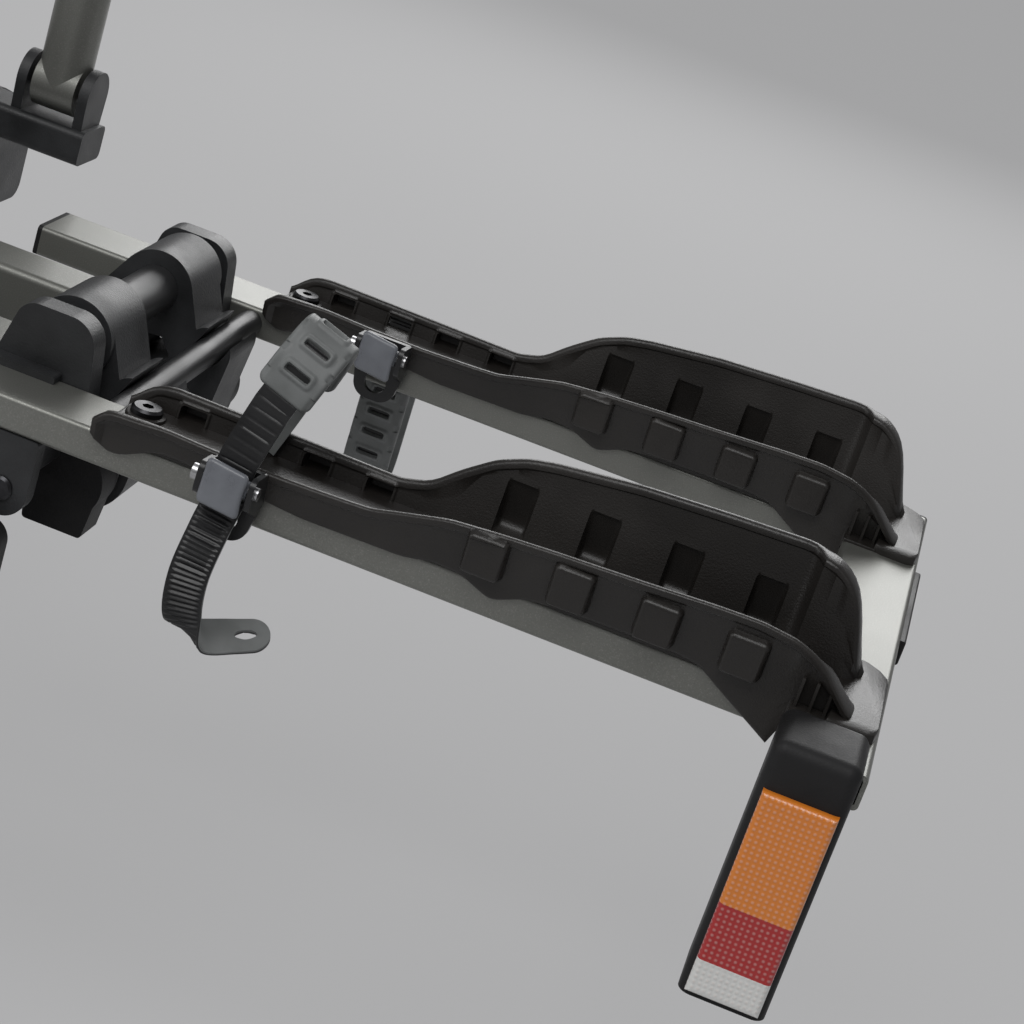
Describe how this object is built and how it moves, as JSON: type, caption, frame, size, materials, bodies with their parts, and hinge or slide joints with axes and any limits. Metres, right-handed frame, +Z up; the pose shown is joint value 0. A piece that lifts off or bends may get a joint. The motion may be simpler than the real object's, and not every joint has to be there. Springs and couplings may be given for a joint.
{
  "type": "tow bar bike carrier",
  "caption": "Tow ball bike carrier with folding wheel frames, moulded wheel trays, ratchet straps, rear lamps, tilting platform and a folding mast with bike arms.",
  "frame": {"origin": "centre of the tow ball socket", "axes": "+X to the right seen from behind the car, +Y forwards towards the car, +Z up"},
  "size_m": [1.312, 0.578, 0.8321],
  "materials": {
    "rail_paint": "silver-grey metallic lacquer with a fine sparkle, satin",
    "black_tube": "satin black powder coat",
    "casting": "dark grey powder coated casting, fine texture",
    "black_steel": "black zinc plated steel, semi-gloss",
    "tray_plastic": "black moulded plastic with a fine grain",
    "buckle_black": "black moulded plastic, semi-gloss",
    "buckle_grey": "blue-grey moulded plastic, semi-gloss",
    "bare_steel": "bright zinc plated steel",
    "strap_black": "black soft plastic with fine cross ribs",
    "pad_grey": "mid grey soft rubber, matt",
    "lamp_black": "black moulded plastic, fine grain",
    "lens_red": "red, amber and clear lamp lens, gloss",
    "grey_tube": "light grey anodised tube",
    "grip_rubber": "black rubber grip, matt"
  },
  "bodies": {
    "coupling": {"coupling_housing": "casting", "coupling_tail": "casting", "coupling_pins": "bare_steel"},
    "jaw": {"ball_jaw": "bare_steel"},
    "lever": {"coupling_lever": "casting", "lever_grip": "grip_rubber"},
    "lock": {"lock_cylinder": "bare_steel"},
    "platform": {"spine": "casting", "rear_beam": "rail_paint", "front_beam": "rail_paint", "centre_cover": "lamp_black", "mast_base": "casting", "number_plate_board": "lamp_black", "hinge_arms_right": "casting", "hinge_arms_left": "casting", "foot_tubes": "grey_tube", "foot_caps": "lamp_black"},
    "pedal_body": {"pedal": "lamp_black"},
    "rod": {"pull_rod": "black_steel"},
    "hook": {"tilt_hook": "black_steel"},
    "wheel_frame_right": {"frame_right": "rail_paint", "hinge_tube_right": "black_tube", "rest_bar_right": "black_tube", "hinge_sockets_right": "casting", "frame_screws_right": "black_steel", "tray_rear_right": "tray_plastic", "tray_front_right": "tray_plastic", "buckle_bases_right": "buckle_black", "buckle_pins_right": "bare_steel", "strap_rear_right": "strap_black", "strap_front_right": "strap_black", "rim_pads_right": "pad_grey", "lamp_housing_right": "lamp_black", "lamp_lens_right": "lens_red", "frame_trims_right": "lamp_black"},
    "buckle_rear_right": {"buckle_lever_rear_right": "buckle_grey"},
    "buckle_front_right": {"buckle_lever_front_right": "buckle_grey"},
    "wheel_frame_left": {"frame_left": "rail_paint", "hinge_tube_left": "black_tube", "rest_bar_left": "black_tube", "hinge_sockets_left": "casting", "frame_screws_left": "black_steel", "tray_rear_left": "tray_plastic", "tray_front_left": "tray_plastic", "buckle_bases_left": "buckle_black", "buckle_pins_left": "bare_steel", "strap_rear_left": "strap_black", "strap_front_left": "strap_black", "rim_pads_left": "pad_grey", "lamp_housing_left": "lamp_black", "lamp_lens_left": "lens_red", "frame_trims_left": "lamp_black"},
    "buckle_rear_left": {"buckle_lever_rear_left": "buckle_grey"},
    "buckle_front_left": {"buckle_lever_front_left": "buckle_grey"},
    "mast_body": {"mast": "rail_paint"},
    "arm_rear": {"bike_arm_rear": "casting", "arm_claw_rear": "casting", "claw_fork_rear": "casting"},
    "claw_rear": {"arm_jaw_rear": "casting"},
    "knob_rear": {"arm_knob_rear": "lamp_black"},
    "arm_front": {"bike_arm_front": "casting", "arm_claw_front": "casting", "claw_fork_front": "casting"},
    "claw_front": {"arm_jaw_front": "casting"},
    "knob_front": {"arm_knob_front": "lamp_black"}
  },
  "joints": [
    {"name": "lever_lift", "type": "hinge", "parent": "coupling", "child": "lever", "pos_m": [0, -0.062, 0.073], "axis": [-1, 0, 0], "range_deg": [0, 75]},
    {"name": "jaw_turn", "type": "hinge", "parent": "coupling", "child": "jaw", "pos_m": [0, -0.046, -0.014], "axis": [1, 0, 0], "range_deg": [0, 12]},
    {"name": "lock_turn", "type": "hinge", "parent": "lever", "child": "lock", "pos_m": [0, -0.108, 0.095], "axis": [0, 0, 1], "range_deg": [0, 90]},
    {"name": "platform_tilt", "type": "hinge", "parent": "coupling", "child": "platform", "pos_m": [0, -0.118, -0.008], "axis": [1, 0, 0], "range_deg": [0, 45]},
    {"name": "pedal_press", "type": "hinge", "parent": "platform", "child": "pedal_body", "pos_m": [0, -0.43, 0.028], "axis": [1, 0, 0], "range_deg": [0, 5.7], "stiffness_Nm_per_rad": 4, "springref_deg": -5.73},
    {"name": "rod_slide", "type": "slide", "parent": "platform", "child": "rod", "axis": [0, -1, 0], "range_m": [0, 0.003]},
    {"name": "hook_lift", "type": "hinge", "parent": "platform", "child": "hook", "pos_m": [0, -0.184, 0.036], "axis": [1, 0, 0], "range_deg": [0, 8.1]},
    {"name": "frame_fold_right", "type": "hinge", "parent": "platform", "child": "wheel_frame_right", "pos_m": [0.244, -0.3175, 0.063], "axis": [0, -1, 0], "range_deg": [0, 90]},
    {"name": "buckle_release_rear_right", "type": "hinge", "parent": "wheel_frame_right", "child": "buckle_rear_right", "pos_m": [0.3555, -0.476, 0.058], "axis": [-1, 0, 0], "range_deg": [0, 30], "stiffness_Nm_per_rad": 0.05, "springref_deg": -5.73},
    {"name": "buckle_release_front_right", "type": "hinge", "parent": "wheel_frame_right", "child": "buckle_front_right", "pos_m": [0.3555, -0.241, 0.058], "axis": [-1, 0, 0], "range_deg": [0, 30], "stiffness_Nm_per_rad": 0.05, "springref_deg": -5.73},
    {"name": "frame_fold_left", "type": "hinge", "parent": "platform", "child": "wheel_frame_left", "pos_m": [-0.244, -0.3175, 0.063], "axis": [0, 1, 0], "range_deg": [0, 90]},
    {"name": "buckle_release_rear_left", "type": "hinge", "parent": "wheel_frame_left", "child": "buckle_rear_left", "pos_m": [-0.3555, -0.476, 0.058], "axis": [-1, 0, 0], "range_deg": [0, 30], "stiffness_Nm_per_rad": 0.05, "springref_deg": -5.73},
    {"name": "buckle_release_front_left", "type": "hinge", "parent": "wheel_frame_left", "child": "buckle_front_left", "pos_m": [-0.3555, -0.241, 0.058], "axis": [-1, 0, 0], "range_deg": [0, 30], "stiffness_Nm_per_rad": 0.05, "springref_deg": -5.73},
    {"name": "mast_fold", "type": "hinge", "parent": "platform", "child": "mast_body", "pos_m": [0, -0.12, 0.1], "axis": [1, 0, 0], "range_deg": [0, 90]},
    {"name": "arm_swing_rear", "type": "hinge", "parent": "mast_body", "child": "arm_rear", "pos_m": [-0.034, -0.12, 0.64], "axis": [1, 0, 0], "range_deg": [-75, 20]},
    {"name": "claw_open_rear", "type": "hinge", "parent": "arm_rear", "child": "claw_rear", "pos_m": [-0.034, -0.405, 0.683], "axis": [-1, 0, 0], "range_deg": [0, 60]},
    {"name": "knob_turn_rear", "type": "hinge", "parent": "claw_rear", "child": "knob_rear", "pos_m": [-0.034, -0.48, 0.69], "axis": [0, 0, 1], "continuous": true},
    {"name": "arm_swing_front", "type": "hinge", "parent": "mast_body", "child": "arm_front", "pos_m": [0.034, -0.12, 0.64], "axis": [1, 0, 0], "range_deg": [-75, 20]},
    {"name": "claw_open_front", "type": "hinge", "parent": "arm_front", "child": "claw_front", "pos_m": [0.034, -0.17, 0.683], "axis": [-1, 0, 0], "range_deg": [0, 60]},
    {"name": "knob_turn_front", "type": "hinge", "parent": "claw_front", "child": "knob_front", "pos_m": [0.034, -0.245, 0.69], "axis": [0, 0, 1], "continuous": true}
  ],
  "couplings": [
    {"joint": "jaw_turn", "follows": "lever_lift", "ratio": 0.16},
    {"joint": "rod_slide", "follows": "pedal_press", "m_per_rad": 0.02994},
    {"joint": "hook_lift", "follows": "pedal_press", "ratio": 1.4035}
  ]
}
